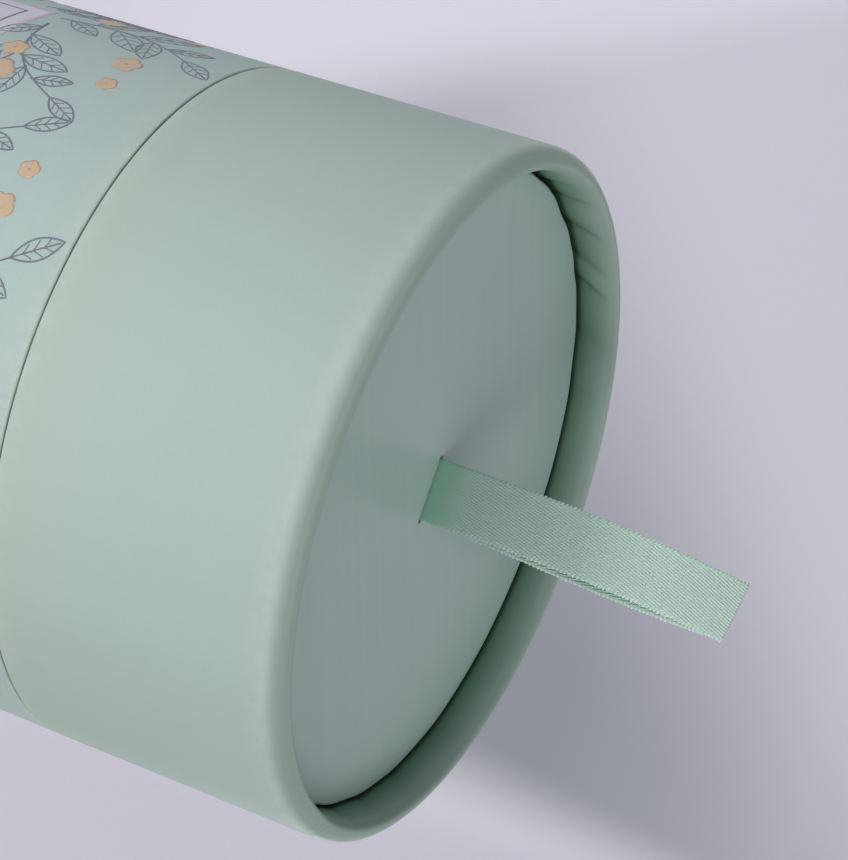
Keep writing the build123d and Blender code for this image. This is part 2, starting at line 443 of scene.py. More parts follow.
def coated(tree, tone, coats):
    """Coats of colour, one over another.

    A coat is a value, the two limits between which it comes in, its greatest share and its colour.
    """
    for value, start, end, most, colour_over in coats:
        share = add(tree, "MapRange", [value, start, end, 0, most])[0]
        tone = add(tree, "Mix", {"Factor": share, "A": tone, "B": colour_over}, data_type="RGBA")["Result"]
    return tone


def matt_paper(tree, place, colours):
    """Matt uncoated paper, calendered and printed mint all over.

    The felt side leaves a faint cloudy tone and a fine tooth, so its light is broad and soft and it
    never shines. The paper near the seam is a little yellower. Edges are lighter, partly from rubbing
    and partly as a painted highlight along the rim and the seam. Painted shade makes what is turned
    in over the rim deeper and greener with depth, and darkens the rim's outer slope, the creases, the
    overlap's cut edge and the deep gap beside the disc.
    """
    base, inside = colours.mint, colours.mint_inside_shade
    # Pulp flocs 5 mm and clouds 24 mm across, rubbing 2.2 mm, fibres 0.45 mm. The fibres are drawn
    # coarser than the real 0.1 mm to show.
    flocs, clouds, wear, fibres = (
        add(tree, "TexNoise", {"Vector": place, "Scale": 1 / (size * MM), "Detail": detail, "Roughness": rough})[0]
        for size, detail, rough in ((5, 3, 0.5), (24, 2, 0.5), (2.2, 4, 0.65), (0.45, 2, 0.6))
    )
    names = ("aged", "inside", "rim", "crease", "edge", "cut", "crevice")
    at = {layer: add(tree, "Attribute", attribute_name=layer)["Fac"] for layer in names}
    # Rubbed wear and a painted highlight: the edge band, broken up by the wear noise
    wear_and_highlight_patches = add(tree, "MapRange", [wear, 0.36, 0.6])[0]
    wear_and_highlight_patches = add(tree, "Math", [wear_and_highlight_patches, at["edge"]], operation="MULTIPLY")[0]
    return {
        "Base Color": coated(tree, base, (
            (clouds, 0.35, 0.65, 0.5, toned(base, 0.955)),
            (flocs, 0.3, 0.7, 0.45, toned(base, 1.035)),
            (fibres, 0.3, 0.75, 0.1, toned(base, 0.62)),
            (at["aged"], 0, 1, 0.8, colours.mint_aged),
            # Painted shade: the turned-in paper, deeper and greener with depth
            (at["inside"], 0, 1, 1, inside),
            # Painted shade on the rim's outer slope
            (at["rim"], 0, 1, 0.9, colours.mint_rim_shade),
            # Painted shade in the creases
            (at["crease"], 0, 1, 0.35, toned(inside, 0.35)),
            # Rubbed wear and a painted highlight on the edges
            (wear_and_highlight_patches, 0, 1, 0.5, colours.mint_worn_and_highlight),
            # Painted shadow along the overlap's cut edge
            (at["cut"], 0, 1, 0.75, toned(base, 0.25)),
            # Painted shade deep in the gap beside the disc
            (at["crevice"], 0, 1, 0.9, toned(inside, 0.12)),
        )),
        "Roughness": add(tree, "MapRange", [flocs, 0.3, 0.7, 0.6, 0.68])[0],
        "IOR": 1.45,
        "Specular IOR Level": 0.3,
        "Normal": add(tree, "Bump", {"Height": fibres, "Distance": 0.016 * MM})["Normal"],
    }


def disc_paper(tree, place, colours):
    """Smooth calendered paper glued over the disc.

    Rolled harder than the wrap, it has a finer tooth and faint streaks along the roll's way, with
    a soft gleam at low angles.
    """
    base = colours.disc
    # Streaks 1.6 mm wide and about 40 mm long, at 43 degrees to X, and fibres 0.4 mm
    grain = {"Vector": place, "Rotation": (0, 0, radians(43)), "Scale": (25, 1, 1)}
    along = add(tree, "Mapping", grain, vector_type="TEXTURE")[0]
    streaks = add(tree, "TexNoise", {"Vector": along, "Scale": 1 / (1.6 * MM), "Detail": 0.5})[0]
    fibres = add(tree, "TexNoise", {"Vector": place, "Scale": 1 / (0.4 * MM), "Detail": 2})[0]
    crevice = add(tree, "Attribute", attribute_name="crevice")["Fac"]
    return {
        "Base Color": coated(tree, base, (
            (streaks, 0.3, 0.75, 0.5, colours.disc_dull),
            (fibres, 0.3, 0.7, 0.06, toned(base, 0.6)),
            # Painted shade on the disc's edge down in the gap
            (crevice, 0, 1, 0.9, toned(base, 0.08)),
        )),
        "Roughness": add(tree, "MapRange", [streaks, 0.3, 0.7, 0.36, 0.375])[0],
        "IOR": 1.5,
        "Normal": add(tree, "Bump", {"Height": fibres, "Distance": 0.01 * MM})["Normal"],
    }


def wound_board(tree, place, colours):
    """Raw grey board of pasted plies wound round a mandrel.

    Its cut end shows the plies as fine rings 0.45 mm thick, and short dark fibres speckle it.
    """
    flat = add(tree, "VectorMath", [place, (1, 1, 0)], operation="MULTIPLY")[0]
    radius = add(tree, "VectorMath", [flat], operation="LENGTH")["Value"]
    wobble = add(tree, "TexNoise", {"Vector": place, "Scale": 1 / (9 * MM), "Detail": 2})[0]
    ply = add(tree, "Math", [wobble, 0.3 * MM, radius], operation="MULTIPLY_ADD")[0]
    ply = add(tree, "Math", [ply, tau / (0.45 * MM)], operation="MULTIPLY")[0]
    ply = add(tree, "Math", [ply], operation="SINE")[0]
    specks = add(tree, "TexNoise", {"Vector": place, "Scale": 1 / (0.5 * MM), "Detail": 4, "Roughness": 0.7})[0]
    dark = colours.board_dark
    return {
        "Base Color": coated(tree, colours.board, ((ply, 0.2, 1, 0.5, dark), (specks, 0.56, 0.7, 0.7, dark))),
        "Roughness": 0.88,
        "Specular IOR Level": 0.25,
        "Normal": add(tree, "Bump", {"Height": specks, "Distance": 0.06 * MM})["Normal"],
    }


def lining_paper(tree, place, base, winding=0.0):
    """Plain off-white lining paper, pasted on in a long spiral strip.

    It is dull with a soft cloudy tone. Where it is wound, a fine dark line climbs round the tube
    at each joint of the strip.
    """
    flocs = add(tree, "TexNoise", {"Vector": place, "Scale": 1 / (4 * MM), "Detail": 3})[0]
    fibres = add(tree, "TexNoise", {"Vector": place, "Scale": 1 / (0.5 * MM), "Detail": 3, "Roughness": 0.6})[0]
    coats = [(flocs, 0.3, 0.7, 0.35, toned(base, 0.86)), (fibres, 0.5, 0.8, 0.4, toned(base, 0.86))]
    height = fibres
    if winding:
        # The climb is the height less the azimuth's share of the strip's width, in strip widths,
        # and a joint is 0.25 to 0.6 mm either side of each whole number
        part = add(tree, "SeparateXYZ", [place])
        turn = add(tree, "Math", [part["Y"], part["X"]], operation="ARCTAN2")[0]
        climb = add(tree, "Math", [part["Z"], 1 / winding], operation="MULTIPLY")[0]
        climb = add(tree, "Math", [turn, -1 / tau, climb], operation="MULTIPLY_ADD")[0]
        near = add(tree, "Math", [climb, 0.5], operation="PINGPONG")[0]
        joint = add(tree, "MapRange", [near, 0.25 * MM / winding, 0.6 * MM / winding, 1, 0])[0]
        coats.append((joint, 0, 1, 0.45, toned(base, 0.5)))
        height = add(tree, "Math", [joint, -3.0, fibres], operation="MULTIPLY_ADD")[0]
    return {
        "Base Color": coated(tree, base, coats),
        "Roughness": 0.8,
        "Specular IOR Level": 0.3,
        "Normal": add(tree, "Bump", {"Height": height, "Distance": 0.02 * MM})["Normal"],
    }


def woven_satin(tree, _, colours):
    """Woven polyester double-face satin.

    Long warp floats lie side by side in a diagonal order. They gleam along the ribbon, and the
    dips between them show as slanting lines. Near the slit, where the rim shades the ribbon, painted
    shade fades the weave out and makes it deeper green, and painted shade darkens the loop's inner faces.
    """
    # The UV map is 1 for each 10 mm, along the ribbon and across it. A row of floats every 0.42 mm,
    # a little coarser than the real weave so that it shows, leans 16 degrees from the length, and
    # a fainter one every 0.4 mm leans 48 degrees the other way.
    place = add(tree, "UVMap", uv_map="weave")["UV"]
    rows = []
    for pitch, lean, weight in ((0.42 * MM, radians(-16), 0.75), (0.4 * MM, radians(48), 0.2)):
        wave = tau * 10 * MM / pitch
        across = (wave * sin(lean), wave * cos(lean), 0)
        row = add(tree, "VectorMath", [place, across], operation="DOT_PRODUCT")["Value"]
        crest = add(tree, "Math", [row], operation="SINE")[0]
        rows.append(add(tree, "Math", [crest, weight], operation="MULTIPLY")[0])
    floats = add(tree, "Math", rows, operation="ADD")[0]
    names = ("bead", "selvage", "rise", "inner")
    at = {layer: add(tree, "Attribute", attribute_name=layer)["Fac"] for layer in names}
    bead = add(tree, "Math", [at["bead"], 2.2, -1.1], operation="MULTIPLY_ADD")[0]
    # Near the slit the weave fades out; in its colour this is painted shade, where the rim shades the ribbon
    floats = add(tree, "Math", [floats, at["rise"]], operation="MULTIPLY")[0]
    floats = add(tree, "Mix", {"Factor": at["selvage"], "A": floats, "B": bead})["Result"]
    drawn_out = add(tree, "Mapping", {"Vector": place, "Scale": (0.3, 2, 1)})[0]
    uneven = add(tree, "TexNoise", {"Vector": drawn_out, "Scale": 1 / 0.35, "Detail": 2})[0]
    deep = colours.satin_deep
    return {
        "Base Color": coated(tree, deep, (
            (floats, -0.8, 0.35, 1, colours.satin),
            (uneven, 0.35, 0.7, 0.16, deep),
            # Painted shade: deeper green near the slit, where the rim shades the ribbon
            (at["rise"], 1, 0, 0.9, colours.satin_root_shade),
            # Painted shade on the loop's inner faces, between the layers
            (at["inner"], 0, 1, 0.6, toned(deep, 0.6)),
        )),
        "Roughness": add(tree, "MapRange", [floats, -1, 1, 0.5, 0.36])[0],
        "Anisotropic": 0.6,
        "Sheen Weight": 0.25,
        "Sheen Roughness": 0.4,
        "IOR": 1.6,
        "Specular IOR Level": 1.0,
        "Subsurface Weight": 0.35,
        "Subsurface Radius": (0.45 * MM, 0.9 * MM, 0.65 * MM),
        "Subsurface Scale": 1.0,
        "Tangent": add(tree, "Tangent", direction_type="UV_MAP", uv_map="weave")[0],
        "Normal": add(tree, "Bump", {"Height": floats, "Distance": 0.045 * MM})["Normal"],
    }


def printed_ink(tree, place, base, gloss=0.45):
    """Offset ink on matt paper: a thin even film with the paper's tooth showing through."""
    tooth = add(tree, "TexNoise", {"Vector": place, "Scale": 1 / (0.4 * MM), "Detail": 2})[0]
    cover = add(tree, "TexNoise", {"Vector": place, "Scale": 1 / (3 * MM), "Detail": 3})[0]
    coats = ((cover, 0.3, 0.7, 0.4, toned(base, 1.12)), (tooth, 0.45, 0.75, 0.3, toned(base, 0.85)))
    return {
        "Base Color": coated(tree, base, coats),
        "Roughness": gloss,
        "Specular IOR Level": 0.4,
        "Normal": add(tree, "Bump", {"Height": tooth, "Distance": 0.012 * MM})["Normal"],
    }


def seen(tree):
    """1 for what the camera or gloss sees, and 0 for light on its way to the box."""
    rays = add(tree, "LightPath")
    return add(tree, "Math", [rays["Is Camera Ray"], rays["Is Glossy Ray"]], operation="MAXIMUM")[0]


def backdrop_paper(tree, place, colours):
    """A seamless paper backdrop with a painted shadow: a soft darker wedge behind the box, and fainter shade
    towards +X.

    The wedge is a product of smooth climbs, each of the distance to a line on the floor.
    """
    # Each line is its normal's x and y, and the distances along it where the climb starts and ends
    lines = (
        (1, 0.369, -0.01, 0.025), (-1, 0.12, -0.045, -0.011), (0, 1, 0.12, 0.4), (1, -0.22, -0.29, -0.082),
        (1, -0.1, 0.02, 0.075),
    )
    climbs = []
    for x, y, start, end in lines:
        distance = add(tree, "VectorMath", [place, (x, y, 0)], operation="DOT_PRODUCT")["Value"]
        climbs.append(add(tree, "MapRange", [distance, start, end], interpolation_type="SMOOTHSTEP")[0])
    away = add(tree, "MapRange", [add(tree, "SeparateXYZ", [place])["Y"], 0.65, 1.15, 0.75, 0.4])[0]
    core = add(tree, "Math", [climbs[3], away], operation="MULTIPLY")[0]
    wedge = add(tree, "Math", [core, 0.25], operation="ADD")[0]
    for climb in climbs[:3]:
        wedge = add(tree, "Math", [wedge, climb], operation="MULTIPLY")[0]
    tooth = add(tree, "TexNoise", {"Vector": place, "Scale": 1 / (2 * MM), "Detail": 2})[0]
    # Painted shadow: the wedge and a fainter band towards +X darken the paper, and the tooth varies its tone a
    # little
    coats = ((climbs[4], 0, 1, 0.33), (wedge, 0, 1, 1), (tooth, 0.3, 0.7, 0.03))
    tone = coated(tree, colours.floor, [(*coat, colours.floor_shadow_and_grain) for coat in coats])
    # Only the camera and gloss see this lift of the paper's tone, so it lights nothing else
    return {
        "Base Color": tone,
        "Roughness": 0.9,
        "Specular IOR Level": 0.2,
        "Emission Color": tone,
        "Emission Strength": add(tree, "Math", [seen(tree), 0.42], operation="MULTIPLY")[0],
    }


# ---------------------------------------------------------------- lid and body


class GIFT_TUBE_OT_wrap_lid(Operator):
    """Roll mint paper over the lid's tube, turned in over the rim and at the seam"""

    bl_idname = "gift_tube.wrap_lid"
    bl_label = "Wrap the lid"

    def execute(self, context):
        sizes, colours = groups("wraps", "colours")
        low, top = LID_LOW.z, LID_HIGH.z
        middle = (low + top) / 2
        # How far the rim's roundings reach along its slope and along its crown
        slope_cut, crown_cut = 0.9 * MM, 0.6 * MM
        way, normal = rounded_way(
            [
                (BORE, low + sizes.seam_flap), (BORE, low), (sizes.radius, low),
                (sizes.radius, top - sizes.rim_drop), (BORE + sizes.rim_crown, top), (BORE, top),
                (BORE, top - sizes.rim_flap),
            ],
            [
                sizes.edge_round, sizes.edge_round, (sizes.rim_shoulder, slope_cut), (slope_cut, crown_cut),
                (sizes.rim_inner_width, sizes.rim_inner_fall),
            ],
            [5, 3, 14, 2, 2, 22],
            corner_count=11,
        )
        way, normal = with_back(way, normal, sizes.paper)
        a = azimuths_near(720, sizes.lid_overlap)
        # Rows by azimuths: each point moves along its normal by the reliefs
        r, z, out, up = way[:, :1], way[:, 1:], normal[:, :1], normal[:, 1:]
        depth = np.clip(top - z, 0, None) * (r < BORE + sizes.rim_inner_width) * (z > middle)
        inner = steps(-out, 0, 1)
        relief = overlap_relief(a, sizes.lid_overlap, sizes.overlap_step) * (1 - 0.6 * inner)
        relief = relief + pleat_relief(a, depth, sizes.pleat_depth) * inner + slow_wave(a, z, 0.03 * MM)
        seam_wave = slow_wave(a, z, 0.07 * MM) * steps(-z, -low - 6 * MM, -low)
        # Lighter bands 3.8 mm under the rim's top and along the seam: partly rubbed wear, partly a painted
        # highlight where the edges catch the light
        wear_and_highlight_bands = np.maximum(bell(z - top + 3.8 * MM, 1.3 * MM), bell(z - low - 0.3 * MM, 0.5 * MM))
        # Painted shade on the rim: darkest on its outer slope, where the light falls off, and varying softly round
        # it with the uneven light
        slope = (steps(up, 0, 0.45) - 0.35 * steps(up, 0.86, 1)) * (z > middle)
        piece = make_piece(
            "lid_wrap_paper",
            turned(r + out * relief, z + up * relief + seam_wave, a),
            new_material("mint_paper_calendered", matt_paper, colours),
            layers={
                "aged": 1 - 0.55 * steps(z, low, low + 14 * MM),
                "edge": wear_and_highlight_bands * (1 - inner),
                # Painted shade: deeper and greener with depth under the rim
                "inside": inner * np.clip((depth - 0.3 * MM) / (6.2 * MM), 0, 1) ** 0.85,
                "rim": slope * (0.78 + 0.22 * np.cos(a + 0.6)),
                # Painted shade in the creases
                "crease": crease_shade(a, depth) * inner,
                # Painted shade deep in the gap beside the disc
                "crevice": inner * steps(depth, 6.3 * MM, 7 * MM),
                # Painted shadow along the overlap's cut edge
                "cut": cut_line(a, sizes.lid_overlap),
            },
            sharp_degrees=38,
        )
        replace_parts(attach(piece, "lid"), "lid_wrap")

        # The board under it has the same soft rim, set in by a little more than the paper. Its way
        # ends where it starts, so the last point is left out.
        inset = sizes.paper + 0.03 * MM
        outside, foot, head = sizes.radius - inset, low + inset, top - inset
        way = rounded_way(
            [
                (LINER_RADIUS, middle), (LINER_RADIUS, foot), (outside, foot),
                (outside, head - sizes.rim_drop), (BORE + sizes.rim_crown, head), (LINER_RADIUS, head),
                (LINER_RADIUS, middle),
            ],
            [
                0.2 * MM, 0.2 * MM, (sizes.rim_shoulder, slope_cut), crown_cut,
                (sizes.rim_inner_width - LINER_RADIUS + BORE, sizes.rim_inner_fall - inset),
            ],
            [8, 3, 14, 2, 2, 8],
        )[0][:-1]
        board = make_piece(
            "lid_board_tube",
            turned(way[:, :1], way[:, 1:], np.arange(240) * tau / 240),
            new_material("grey_board_wound", wound_board, colours),
            sharp_degrees=38,
        )
        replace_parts(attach(board, "lid"), "lid_tube")
        return {"FINISHED"}


class GIFT_TUBE_OT_wrap_body(Operator):
    """Roll mint paper round the body's tube, turned in behind the neck"""

    bl_idname = "gift_tube.wrap_body"
    bl_label = "Wrap the body"

    def execute(self, context):
        (sizes,) = groups("wraps")
        top = BODY_HIGH.z
        way, normal = rounded_way(
            [
                (sizes.radius, BODY_LOW.z), (sizes.radius, top), (NECK_RADIUS, top),
                (NECK_RADIUS, top - sizes.seam_flap),
            ],
            [sizes.edge_round, sizes.edge_round],
            [30, 3, 6],
        )
        way, normal = with_back(way, normal, sizes.paper)
        a = azimuths_near(600, sizes.body_overlap)
        r, z, out, up = way[:, :1], way[:, 1:], normal[:, :1], normal[:, 1:]
        outer = steps(out, 0, 1)
        relief = overlap_relief(a, sizes.body_overlap, sizes.overlap_step) * outer
        seam_wave = (slow_wave(a + 1, z, 0.05 * MM) + 0.05 * MM) * steps(z, top - 6 * MM, top)
        piece = make_piece(
            "body_wrap_paper",
            turned(r + out * relief, z + up * relief + seam_wave, a),
            bpy.data.materials["mint_paper_calendered"],
            layers={
                "aged": 0.3 * steps(z, top - 4 * MM, top),
                "edge": np.maximum(bell(z - top + 0.3 * MM, 0.5 * MM), bell(z, 1.2 * MM)),
                # Painted shade: the paper turned in behind the neck, half as deep
                "inside": (1 - outer) * 0.5,
                # Painted shadow along the overlap's cut edge
                "cut": cut_line(a, sizes.body_overlap),
            },
            sharp_degrees=38,
        )
        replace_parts(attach(piece, "body"), "base_wrap")
        return {"FINISHED"}


class GIFT_TUBE_OT_close_lid(Operator):
    """Fit the lid's disc below the rim: a board with smooth paper over it and a slit for the ribbon"""

    bl_idname = "gift_tube.close_lid"
    bl_label = "Close the lid"

    def execute(self, context):
        disc, wraps, colours = groups("disc", "wraps", "colours")
        a = azimuths_near(600)
        # The disc softly follows the gathered paper round it and sits a little towards the near side
        pleats = [
            pleat_relief(a + shift, LID_HIGH.z - DISC_TOP, wraps.pleat_depth)
            for shift in np.radians(np.linspace(-2.4, 2.4, 9))
        ]
        offset = disc.far_gap * (0.5 + 0.5 * np.cos(a - radians(130)))
        edge = BORE - disc.gap - 0.8 * np.mean(pleats, axis=0) - offset

        def disc_shape(way, inset):
            """Rows by azimuths on the disc, for a way of distances from the slit's wall and heights.

            Near the slit the point is the slit's outline moved out by the distance, near the edge
            it is on a circle at the same distance from the edge, and between them a mixture. The
            upper side is pressed down round the slit, most at its ends, and bellies in slow waves
            of a tenth of a millimetre.
            """
            out, z = way[:, :1], way[:, 1:]
            share = np.clip((out - 1 * MM) / (BORE - inset - 4 * MM), 0, 1)[..., None]
            ring = slit_ring(a, disc.slit_length / 2 + inset, disc.slit_width / 2 + inset, out)
            circle = turned(edge - BORE + out, 0, a)[..., :2]
            x, y = np.moveaxis(ring * (1 - share) + circle * share, -1, 0)
            past_end = abs(x) - disc.slit_length / 2
            at_end, beside = np.hypot(past_end, y), np.hypot(np.clip(past_end, 0, None), y)
            pressed = 0.12 * MM * bell(at_end, 0.8 * MM) + 0.05 * MM * bell(beside, 1.6 * MM)
            belly = 0.1 * MM * np.sin(x / (17 * MM) + 0.6) * np.cos(y / (21 * MM))
            return np.stack([x, y, z + (belly - pressed) * steps(z, DISC_FOOT, DISC_TOP)], axis=-1)

        under = DISC_FOOT - disc.paper
        way, normal = rounded_way(
            [
                (BORE - disc.turn_under, under), (BORE, under), (BORE, DISC_TOP), (0, DISC_TOP),
                (0, DISC_TOP - 0.9 * MM),
            ],
            [0.2 * MM, disc.edge_round, 0.25 * MM],
            [3, 5, 36, 3],
            corner_count=7,
        )
        way = with_back(way, normal, disc.paper, stride=2)[0]
        paper = make_piece(
            "lid_disc_paper",
            disc_shape(way, 0),
            new_material("mint_disc_paper_smooth", disc_paper, colours),
            # Painted shade on the disc's edge where it drops into the gap
            layers={"crevice": steps(DISC_TOP - way[:, 1:], 0.25 * MM, 0.9 * MM)},
            sharp_degrees=50,
        )
        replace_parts(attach(paper, "lid"), "lid_disc_cover")

        reach, head = BORE - disc.paper, DISC_TOP - disc.paper
        way = rounded_way(
            [
                (reach / 2, DISC_FOOT), (reach, DISC_FOOT), (reach, head), (0, head), (0, DISC_FOOT),
                (reach / 2, DISC_FOOT),
            ],
            [0.1 * MM, disc.edge_round - disc.paper, 0.1 * MM, 0.1 * MM],
            [6, 3, 24, 3, 8],
            corner_count=5,
        )[0][:-1]
        board = make_piece(
            "lid_disc_board",
            disc_shape(way, disc.paper),
            new_material("grey_board_pressed", wound_board, colours),
            sharp_degrees=50,
        )
        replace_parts(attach(board, "lid"), "lid_disc")
        return {"FINISHED"}


# ---------------------------------------------------------------- ribbon


def ribbon_line(sizes):
    """The middle line of the ribbon from one tail's end to the other's, with the way its face looks.

    Up the front layer and down the back one, the point is an arc that starts upright and turns
    evenly back, plus the face's normal times half the layers' distance: the half gap, growing to
    the fold's radius, plus the spread times sin squared. The fold is a half circle. Legs go
    straight down through the slit and turn out flat under the disc.
    """
    # The straight legs end a little over the disc
    root = DISC_TOP + 0.6 * MM
    flat = DISC_FOOT - sizes.thickness / 2
    slope = np.arctan2(sizes.droop, sizes.height)
    arc = hypot(sizes.droop, sizes.height) * slope / sin(slope)
    t = np.linspace(0, 1, int(round(arc / (sizes.loop_pitch / 6))))
    turn = 2 * slope * t
    face = np.stack([-np.cos(turn), np.sin(turn)], axis=1)
    middle = np.stack([arc * (1 - np.cos(turn)) / (2 * slope), root + arc * np.sin(turn) / (2 * slope)], axis=1)
    # Both layers share a slow ripple, which makes the gleam come and go along the ribbon
    middle = middle + face * (0.3 * MM * np.sin(3 * pi * t + 0.6) * np.sin(pi * t))[:, None]
    half = sizes.half_gap + (sizes.fold_radius - sizes.half_gap) * t + sizes.spread * np.sin(pi * t) ** 2
    front, back = middle + face * half[:, None], (middle - face * half[:, None])[::-1]
    round_turn = np.linspace(0, pi, 13)[1:-1, None]
    tip_ahead = np.array([sin(turn[-1]), cos(turn[-1])])
    fold_face = np.cos(round_turn) * face[-1] + np.sin(round_turn) * tip_ahead
    fold = middle[-1] + sizes.fold_radius * fold_face
    # One leg and tail, for the front layer; the back layer's is its mirror image
    bend, side = sizes.bend_radius, sizes.half_gap
    quarter = np.linspace(0, pi / 2, 9)[:, None]
    tail_y = np.linspace(-sizes.tail, -side - bend, int((sizes.tail - side - bend) / (0.5 * MM)))[:-1]
    tail = np.stack([tail_y, np.full(len(tail_y), flat)], axis=1)
    curve_face = np.cos(quarter) * np.array([0, -1]) + np.sin(quarter) * np.array([1, 0])
    curve = np.array([-side - bend, flat + bend]) + bend * curve_face
    leg = np.stack([np.full(9, -side), np.linspace(flat + bend, root, 9)], axis=1)[1:-1]
    start = np.concatenate([tail, curve, leg])
    down, aft = np.tile([0, -1.0], (len(tail), 1)), np.tile([1.0, 0], (len(leg), 1))
    start_face = -np.concatenate([down, curve_face, aft])
    line = np.concatenate([start, front, fold, back, (start * [-1, 1])[::-1]])
    looks = np.concatenate([start_face, face, fold_face, -face[::-1], (start_face * [-1, 1])[::-1]])
    # The lean is an edgewise curve: a power of the height, and the width line turns with it
    power = 2.6
    up = np.clip(line[:, 1] - root, 0, sizes.height) / sizes.height
    aside = sizes.lean * up**power
    lean = np.arctan(power * sizes.lean / sizes.height * up ** (power - 1))
    grain = 2 * slope * up
    across = np.column_stack([np.cos(lean), -np.sin(lean) * np.sin(grain), -np.sin(lean) * np.cos(grain)])
    first = len(start) + len(front) + len(fold)
    aside[first : first + len(back)] += sizes.side_slip * np.sin(pi * t[::-1] ** 1.3)
    return np.column_stack([aside, line]), np.column_stack([np.zeros(len(looks)), looks]), across


class GIFT_TUBE_OT_thread_ribbon(Operator):
    """Thread the satin ribbon through the slit: a folded loop above, two tails flat below"""

    bl_idname = "gift_tube.thread_ribbon"
    bl_label = "Thread the ribbon"

    def execute(self, context):
        sizes, colours = groups("ribbon", "colours")
        line, face, across = ribbon_line(sizes)
        run = np.append(0, np.cumsum(np.linalg.norm(np.diff(line, axis=0), axis=1)))
        # Across the ribbon: its flat face, then its two woven edges, whose loops stand out in turn
        half = (sizes.width - sizes.loop_height) / 2
        side = np.array([0.25, 0.5, 0.75, 0.87, 0.92, 0.955, 0.985, 1])
        share = np.concatenate([-side[::-1], [0], side])
        edge = steps(abs(share), 0.86, 0.97)
        at = run[:, None] / MM
        # The loops are a wave along the edge, hurried and slowed by two slower waves, and uneven in size
        phase = run[:, None] / sizes.loop_pitch * tau + 3.2 * share * edge
        phase = phase + 0.9 * np.sin(at / 2.7) + 0.7 * np.sin(at / 1.13 + 2 * np.sign(share))
        loop = (0.5 + 0.5 * np.sin(phase)) * (0.8 + 0.2 * np.sin(at / 0.83 + 1 + np.sign(share)))
        wide = half * share + sizes.loop_height * loop * edge * np.sign(share)
        thin = sizes.thickness / 2 * np.sqrt(np.clip(1 - abs(share) ** 18, 0, 1))
        thin = thin * (1 + 0.35 * edge * (loop - 0.3))
        height = line[:, 2:] - DISC_TOP
        cup = 0.1 * MM * (1 - share**2) * steps(height, 1 * MM, 12 * MM)
        flat = line[:, None] + across[:, None] * wide[..., None]
        upper, lower = (flat + face[:, None] * (cup + thick)[..., None] for thick in (thin, -thin))
        points = np.concatenate([upper, lower[:, -2:0:-1]], axis=1)
        rows, columns = points.shape[:2]
        count = len(share)
        around = np.concatenate([np.arange(count), np.arange(count - 2, 0, -1)])
        uv_across = share[around] * half / (10 * MM) + 0.5
        uv = np.stack(np.broadcast_arrays(run[:, None] / (10 * MM), uv_across), axis=-1)
        # Each end is closed by faces between the upper and the lower skin
        pair = np.arange(1, count - 2)
        cap = np.stack([pair, pair + 1, columns - pair - 1, columns - pair], axis=1)
        first_cap = [[0, 1, columns - 1], *cap.tolist(), [count - 2, count - 1, count]]
        last_cap = [[(rows - 1) * columns + i for i in corner[::-1]] for corner in first_cap]
        tight = 1 - steps(height, 0.6 * MM, 3 * MM)
        ribbon = make_piece(
            "satin_ribbon",
            points,
            new_material("satin_woven_polyester", woven_satin, colours),
            grid_faces(rows, columns)[:, ::-1].tolist() + first_cap + last_cap,
            layers={
                "bead": loop[:, around] * (1 - tight) + 0.5 * tight,
                "selvage": edge[around],
                # Painted shade: near the slit the weave fades and the ribbon turns deeper green
                "rise": steps(height, 1.5 * MM, 8 * MM),
                # Painted shade on the loop's inner skin, away from its edges
                "inner": (np.arange(columns) >= count) * (1 - edge[around]),
            },
            uv=uv,
        )
        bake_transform(ribbon)
        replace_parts(ribbon, "ribbon_loop", "ribbon_tails")
        # The sheet's width is taken over the tips of its edge loops
        flat = (sizes.width + sizes.loop_height, float(run[-1]))
        return {"FINISHED"}


# ---------------------------------------------------------------- print

# All in millimetres from the panel's corner: each stem's start, its end and its bow to one side,
# and each blossom's middle, with its share of a middling one's radius and its turn
STEMS = np.array([
    (-2.5, 2.0, -6.0, 27.2, -4.0),
    (-6.5, 2.5, -27.0, 17.0, 4.0),
    (2.0, 1.0, 16.0, 20.0, -3.0),
    (2.5, -4.0, 21.0, 5.0, 3.0),
    (2.0, -22.0, 17.0, -9.0, -3.0),
])
BLOSSOMS = np.array([
    (-24.0, 5.2, 1.05, 0.2), (-17.5, 4.2, 0.75, 0.9), (-20.0, 22.5, 0.6, 0.5), (-13.0, 21.5, 0.85, 0.1),
    (4.0, 7.5, 0.8, 1.1), (9.0, 21.5, 0.6, 0.4), (12.0, -4.0, 0.95, 0.0), (6.5, -9.5, 0.6, 0.7),
])
# Along a stem, each leaf's place, its side and its size, and then the size on each stem
LEAVES = np.array([
    (0.14, 1, 0.8), (0.28, -1, 1.0), (0.42, 1, 1.08), (0.56, -1, 1.0), (0.70, 1, 0.88), (0.84, -1, 0.72),
    (1.0, 0, 0.8),
]).T
STEM_SHARES = np.array([1.0, 0.85, 0.95, 0.8, 0.8])
# How far a film of ink's face stands off the paper: on the paper, over the sprigs, on the panel
ON_PAPER, OVER_SPRIGS, ON_PANEL = 0.045 * MM, 0.06 * MM, 0.075 * MM


def strokes(lines, half_width):
    """Strips of ink along many lines at once, with their faces: each point moved half a width to both sides.

    lines is lines by points by 2, and half_width is a number or lines by points.
    """
    ahead = np.gradient(lines, axis=1)
    ahead /= np.maximum(np.linalg.norm(ahead, axis=2, keepdims=True), 1e-12)
    half_width = np.broadcast_to(half_width, lines.shape[:2])[..., None]
    side = np.stack([-ahead[..., 1], ahead[..., 0]], axis=-1) * half_width
    faces = grid_faces(lines.shape[1], 2, close_columns=False, copies=len(lines))[:, ::-1]
    return np.stack([lines - side, lines + side], axis=2), faces


